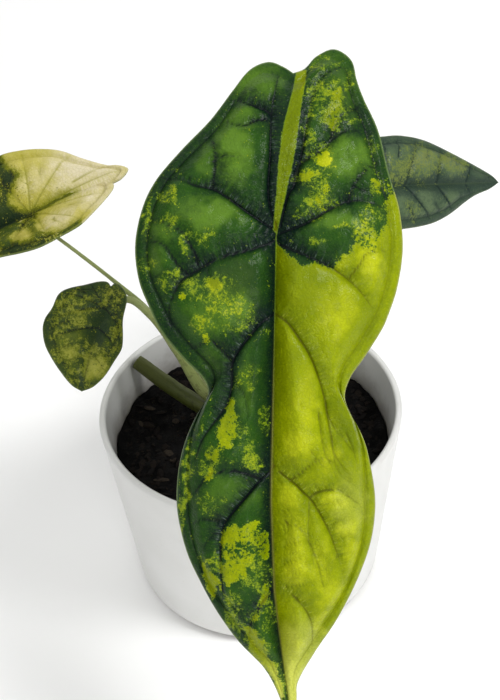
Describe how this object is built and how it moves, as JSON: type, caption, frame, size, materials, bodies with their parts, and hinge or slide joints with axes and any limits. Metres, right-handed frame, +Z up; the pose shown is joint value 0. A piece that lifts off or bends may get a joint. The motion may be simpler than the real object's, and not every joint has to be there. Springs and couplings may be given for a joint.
{
  "type": "potted variegated alocasia",
  "caption": "Potted alocasia with shield-shaped, deeply ribbed leaves, splashed dark green and chartreuse, in a plain white tapering ceramic pot filled with dark soil.",
  "frame": {"origin": "centre of the pot's flat base, on the surface that it stands on", "axes": "+Z up; -Y toward the side that the large leaf hangs over; +X to the right when that leaf faces the viewer"},
  "size_m": [0.2689, 0.2295, 0.2438],
  "materials": {
    "pot_glaze": "smooth satin white glaze",
    "potting_soil": "matt, dark and damp, with bark chips",
    "crown_bark": "matt, ringed with old leaf scars",
    "leaf_variegated": "satin, dark green and chartreuse, with dark sunken veins",
    "leaf_cream": "satin, cream and yellow with dark green",
    "leaf_mottled": "satin, mottled olive green",
    "leaf_grey_green": "satin, grey green with a paler edge",
    "petiole": "smooth, waxy olive green"
  },
  "bodies": {
    "root": {"pot": "pot_glaze", "soil": "potting_soil", "crown": "crown_bark", "blade_front": "leaf_variegated", "blade_left": "leaf_cream", "blade_low_left": "leaf_mottled", "blade_right": "leaf_grey_green", "petiole_front": "petiole", "petiole_left": "petiole", "petiole_low_left": "petiole", "petiole_right": "petiole", "old_petiole": "petiole"}
  },
  "joints": []
}
